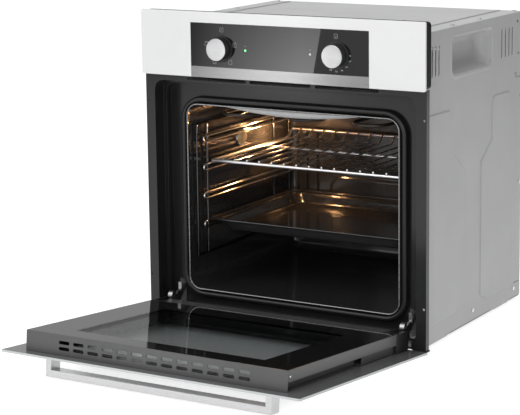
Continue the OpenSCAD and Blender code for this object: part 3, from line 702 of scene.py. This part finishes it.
def cavity_shell():
    """The enamelled box: a folded lip at the mouth and soft edges at the back."""
    bend = 16
    rings = []
    section = [(-1.0, MOUTH_D), (1.8, MOUTH_D), (2.2, 34.6), (1.8, 36), (0.6, 38), (0, 42)]
    for k in range(9):
        angle = math.pi / 2 * k / 8
        depth = CAVITY_BACK - bend + bend * math.sin(angle)
        section.append((bend * (1 - math.cos(angle)), depth))
    for inset, depth in section:
        rings.append([at(p.x, depth, p.y) for p in rounded(MOUTH_BOX, CAVITY_R, inset, 14)])
    points, faces = loft(rings, cap_end=True)
    shell = make("cavity_shell", points, faces, "enamel_black", CHASSIS, sharp=80)
    middle = at(0, 230, 230)
    face = shell.data.polygons[len(shell.data.polygons) // 2]
    if (middle - face.center).dot(face.normal) < 0:
        shell.data.flip_normals()
    thicken(shell, 1.0)
    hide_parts("cavity_liner")


cavity_shell()
# The lip ring is steel grey in place of the enamel: a painted highlight along the mouth's rolled edge.
swept_frame("mouth_lip", MOUTH_BOX, CAVITY_R, oval(0.6, MOUTH_D, 1.2, 1.2), "lip_steel")
emboss("cavity_back_press", rect(-134, 134, 91, 217), 29, 3.0, 9, on_cavity_back, "enamel_black")
BACK_RIB_HALF = 3.5
for number, x in enumerate((-207.5, -185.5, -161.5, 161.5, 185.5, 207.5)):
    emboss("cavity_back_rib_%d" % number, rect(x - BACK_RIB_HALF, x + BACK_RIB_HALF, 176, 308),
           3.4, 3.2, 3.2, on_cavity_back, "enamel_black")


def ceiling_deflector():
    """The pressed lip that hangs from the front of the ceiling. Its pale grey is a painted reflection: the
    enamelled lip is coloured pale in place of the bright front it reflects.
    """
    chord, drop, steps = 320, 15, 48
    radius = (chord * chord / 4 + drop * drop) / (2 * drop)
    # Each row is (depth, share of the fall).
    profile = [(39, 0.0), (39.6, 0.55), (41.4, 0.9), (45, 1.0), (50, 0.92), (60, 0.45), (72, 0.0)]
    rows = []
    for k in range(steps + 1):
        x = -chord / 2 + chord * k / steps
        fall = drop - (radius - math.sqrt(radius * radius - x * x))
        rows.append([at(x, depth, CAVITY_HIGH + 0.2 - fall * share) for depth, share in profile])
    points = [p for row in rows for p in row]
    n = len(profile)
    faces = []
    for i in range(steps):
        for k in range(n - 1):
            faces.append((i * n + k, i * n + k + 1, (i + 1) * n + k + 1, (i + 1) * n + k))
    thicken(make("ceiling_deflector", points, faces, "pressed_pale", CHASSIS, sharp=70), 0.6)


ceiling_deflector()
seal = swept_frame("seal_tube", rect(-241, 241, 37.5, 428.5), 46, oval(5.6, 38.4, 5.4, 6.0), "seal")
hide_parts("door_seal")
lens_centre = at(-CAVITY_HALF, 230, 319)
lathe("lamp_bezel", [(15.2, -0.5), (18.5, -0.5), (18.5, 1.2), (17.2, 2.4), (15.6, 2.4), (15.2, 1.6)],
      lens_centre, (1, 0, 0), "chrome_steel", CHASSIS)


# ---------------------------------------------------------------- baking tray

def tray():
    x0, x1, d0, d1 = -217, 217, 89, 420
    bead = 2.6
    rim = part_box("baking_tray")[1].z / MM - bead
    # Each row is (inset, corner radius, height over the rim).
    profile = [(0.8, 9, 2.5), (0.5, 9.5, 1.9), (0.6, 9.5, 1.3), (1.6, 9, 0.8), (3.6, 8, 0.5),
               (11, 14, 0.5), (13.6, 17, -0.1), (15.4, 19, -1.8), (17.5, 21, -7.5),
               (22.2, 23, -17.4), (23.6, 24, -19.6), (26.4, 24, -21.2), (31, 22, -21.7)]
    rings = []
    for inset, radius, z in profile:
        box = rect(x0 + inset, x1 - inset, d0 + inset * 0.98, d1 - inset * 0.98)
        rings.append([at(p.x, p.y, rim + z) for p in rounded(box, radius, 0, 10)])
    points, faces = loft(rings, cap_end=True)
    pan = make("baking_pan", points, faces, "tray_enamel", "baking_tray", sharp=80)
    centre_face = pan.data.polygons[-1]
    if centre_face.normal.z < 0:
        pan.data.flip_normals()
    thicken(pan, 0.9)
    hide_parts("baking_tray")


tray()


# ---------------------------------------------------------------- control panel

KNOBS = {"function": -121.3, "thermostat": 121.3}
KNOB_Z = 527.5


def knob_cap(name, x):
    centre = at(x, PANEL_FACE, KNOB_Z)
    profile = [(19.2, 16.5), (20.6, 16.55), (20.75, 16.9), (20.7, 17.4), (20.2, 17.95), (19.6, 18.0),
               (12, 17.98), (4, 17.96)]
    cap = lathe(name + "_cap_turned", profile, centre, (0, -1, 0), "knob_face", name + "_knob",
                steps=96, origin=centre)
    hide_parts(name + "_knob_cap")


for name, x in KNOBS.items():
    knob_cap(name, x)


def box_icon(x, z):
    corners = rect(x - 3.5, x + 3.5, z - 4, z + 4)
    return True, [(p.x, p.y) for p in rounded(corners, 0.9, 0, 4)]


def bar_mark(x, z, dx, dz):
    return False, [(x - dx, z - dz), (x + dx, z + dz)]


# Places of the marks are given from each knob's axis, in millimetres.
icons = []
for dx, dz in ((2.5, 35.5), (30.5, 8.5), (20.6, -23.5), (-13.7, -24.4), (-30.5, 8.5)):
    icons.append(box_icon(KNOBS["function"] + dx, KNOB_Z + dz))
x, z = KNOBS["function"], KNOB_Z
icons += [bar_mark(x + 2.5, z + 35.5, 1.4, 1.4), bar_mark(x + 30.5, z + 7.2, 1.5, 0),
          bar_mark(x + 30.5, z + 9.8, 1.5, 0), bar_mark(x - 13.7, z - 26.2, 1.8, 0),
          bar_mark(x + 20.6, z - 21.4, 1.8, 0), bar_mark(x - 30.5, z + 10.8, 1.8, 0)]
x = KNOBS["thermostat"]
icons += [box_icon(x - 0.6, z + 34.7), bar_mark(x - 1.0, z + 33.8, 0, 1.8),
          bar_mark(x + 0.4, z + 34.6, 1.0, 1.0)]
for x in (-68, 68):
    icons.append(bar_mark(x - 0.7, KNOB_Z + 7.6, 0.7, 0.9))
    icons.append(bar_mark(x + 0.7, KNOB_Z + 7.6, 0.7, -0.9))
strokes("panel_icons", icons, "icon", 0.24)


def printed_number(label, x, z):
    text = bpy.data.curves.new("number_" + label, "FONT")
    text.body = label
    text.size = 3.6 * MM
    text.align_x = "CENTER"
    text.align_y = "CENTER"
    text.extrude = 0.06 * MM
    obj = bpy.data.objects.new("number_" + label, text)
    obj.location = at(x, PANEL_FACE - 0.08, z)
    obj.rotation_euler = (math.pi / 2, 0, 0)
    settle(obj, "icon", CHASSIS)


for label, dx, dz in (("50", 28, 1), ("100", 27.5, -9), ("150", 20.5, -19.5), ("200", 11.5, -26),
                      ("220", 0, -28.5), ("250", -11.5, -26.5)):
    printed_number(label, KNOBS["thermostat"] + dx, KNOB_Z + dz)


# ---------------------------------------------------------------- door details

def spring(name, mirror):
    """The hinge's coil spring."""
    curve = new_curve(name, 1.0, 2)
    turns, per_turn, low, high, radius = 34, 14, 79, 161, 4.4
    across, inwards = 249, 11
    count = turns * per_turn
    spline = curve.splines.new("POLY")
    spline.points.add(count)
    for k in range(count + 1):
        a = 2 * math.pi * k / per_turn
        x = (across + radius * math.cos(a)) * (-1 if mirror else 1)
        p = OPEN @ at(x, inwards + radius * math.sin(a), low + (high - low) * k / count)
        spline.points[k].co = (*p, 1)
    return settle(bpy.data.objects.new(name, curve), "chrome_steel", DOOR)


right_spring = spring("spring_right", False)
spring("spring_left", True)
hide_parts("hinge_springs")
for number, sign in enumerate((-1, 1)):
    centre = OPEN @ at(sign * 261.5, 21, 437)
    lathe("rail_screw_%d" % number, [(0.5, -0.5), (2.6, -0.4), (2.6, 0.5), (1.8, 1.1), (0.6, 1.2)],
          centre, (sign, 0, 0), "chrome_steel", DOOR, steps=24)


# ---------------------------------------------------------------- stage and light

def stage_range(tree, source, low, high, from_low=0.0, from_high=1.0):
    """Maps a value in a node tree of the stage to low..high."""
    node = tree.nodes.new("ShaderNodeMapRange")
    tree.links.new(source, node.inputs["Value"])
    node.inputs["From Min"].default_value = from_low
    node.inputs["From Max"].default_value = from_high
    node.inputs["To Min"].default_value = low
    node.inputs["To Max"].default_value = high
    return node.outputs[0]


def make_floor():
    mesh = bpy.data.meshes.new("floor")
    size = 3.0
    low = cad_box[0][2] - 0.001
    mesh.from_pydata([(-size, -size, low), (size, -size, low), (size, size, low), (-size, size, low)],
                     [], [(0, 1, 2, 3)])
    floor = bpy.data.objects.new("floor", mesh)
    bpy.context.scene.collection.objects.link(floor)
    finish = bpy.data.materials.new("floor_paint")
    finish.use_nodes = True
    paint = finish.node_tree.nodes["Principled BSDF"]
    paint.inputs["Base Color"].default_value = (0.45, 0.45, 0.45, 1)
    paint.inputs["Roughness"].default_value = 0.9
    paint.inputs["Emission Color"].default_value = (1, 1, 1, 1)
    paint.inputs["Emission Strength"].default_value = 0.72
    mesh.materials.append(finish)


def make_world():
    """White to the eye; for light and gloss, a studio that is brighter above and to the left."""
    world = bpy.data.worlds.new("studio")
    bpy.context.scene.world = world
    world.use_nodes = True
    tree = world.node_tree
    tree.nodes.clear()
    place = tree.nodes.new("ShaderNodeTexCoord")
    lean = tree.nodes.new("ShaderNodeVectorMath")
    lean.operation = "DOT_PRODUCT"
    tree.links.new(place.outputs["Generated"], lean.inputs[0])
    brightest = (-0.66, -0.40, 0.64)
    lean.inputs[1].default_value = brightest
    level = stage_range(tree, lean.outputs["Value"], 0.04, 1.15, -0.7, 0.7)
    studio = tree.nodes.new("ShaderNodeBackground")
    tree.links.new(level, studio.inputs["Strength"])
    white = tree.nodes.new("ShaderNodeBackground")
    path = tree.nodes.new("ShaderNodeLightPath")
    mix = tree.nodes.new("ShaderNodeMixShader")
    tree.links.new(path.outputs["Is Camera Ray"], mix.inputs[0])
    tree.links.new(studio.outputs[0], mix.inputs[1])
    tree.links.new(white.outputs[0], mix.inputs[2])
    white.inputs["Color"].default_value = (1, 1, 1, 1)
    white.inputs["Strength"].default_value = 1.05
    out = tree.nodes.new("ShaderNodeOutputWorld")
    tree.links.new(mix.outputs[0], out.inputs["Surface"])


def area_light(name, place, target, size, power):
    data = bpy.data.lights.new(name, "AREA")
    data.shape = "SQUARE"
    data.size = size
    data.energy = power
    lamp = bpy.data.objects.new(name, data)
    lamp.location = place
    aim = Vector(target) - Vector(place)
    lamp.rotation_euler = aim.to_track_quat("-Z", "Y").to_euler()
    bpy.context.scene.collection.objects.link(lamp)


def reflection_card():
    """A studio card that only shows as the sheen across the panel's window, seen from EYE."""
    glass_y = FRONT_Y + PANEL_FACE * MM
    mirrored_eye = Vector((EYE.x, 2 * glass_y - EYE.y, EYE.z))
    distance = 1.8    # from the mirrored eye to the card, with the glass at 1
    points = []
    for x, z in ((-0.30, 0.66), (0.107, 0.66), (0.066, 0.45), (-0.30, 0.45)):
        on_glass = Vector((x, glass_y, z))
        points.append(mirrored_eye + (on_glass - mirrored_eye) * distance)
    mesh = bpy.data.meshes.new("sheen_card")
    mesh.from_pydata(points, [], [(0, 1, 2, 3)])
    card = bpy.data.objects.new("sheen_card", mesh)
    bpy.context.scene.collection.objects.link(card)
    finish = bpy.data.materials.new("sheen_card")
    finish.use_nodes = True
    tree = finish.node_tree
    tree.nodes.clear()
    place = tree.nodes.new("ShaderNodeTexCoord")
    split = tree.nodes.new("ShaderNodeSeparateXYZ")
    tree.links.new(place.outputs["Generated"], split.inputs[0])
    power = tree.nodes.new("ShaderNodeMath")
    power.operation = "MULTIPLY"
    tree.links.new(stage_range(tree, split.outputs["X"], 0.1, 4.2, 0.2, 0.85), power.inputs[0])
    tree.links.new(stage_range(tree, split.outputs["Z"], 1.35, 0.35), power.inputs[1])
    glow = tree.nodes.new("ShaderNodeEmission")
    tree.links.new(power.outputs[0], glow.inputs["Strength"])
    out = tree.nodes.new("ShaderNodeOutputMaterial")
    tree.links.new(glow.outputs[0], out.inputs["Surface"])
    mesh.materials.append(finish)
    card.visible_camera = False
    card.visible_diffuse = False
    card.visible_shadow = False
    card.visible_transmission = False


def oven_lamp():
    """The warm glow inside. It stands off the left wall, further back than the lens."""
    data = bpy.data.lights.new("oven_lamp", "POINT")
    data.energy = 1.05
    data.color = (1.0, 0.50, 0.20)
    data.shadow_soft_size = 0.006
    lamp = bpy.data.objects.new("oven_lamp", data)
    lamp.location = at(-190, 312, 322)
    bpy.context.scene.collection.objects.link(lamp)


make_floor()
make_world()
area_light("key", (-1.6, -2.6, 2.6), (0, 0, 0.3), 2.2, 30)
area_light("front_soft", (1.3, -2.9, 1.0), (0.28, 0, 0.5), 1.0, 15)
area_light("top_soft", (0.3, 0.4, 3.0), (0, 0, 0.5), 2.5, 36)
area_light("right_soft", (3.2, -0.8, 1.2), (0.28, 0, 0.3), 1.6, 0.5)
reflection_card()
oven_lamp()
bpy.context.scene.view_settings.view_transform = "Standard"
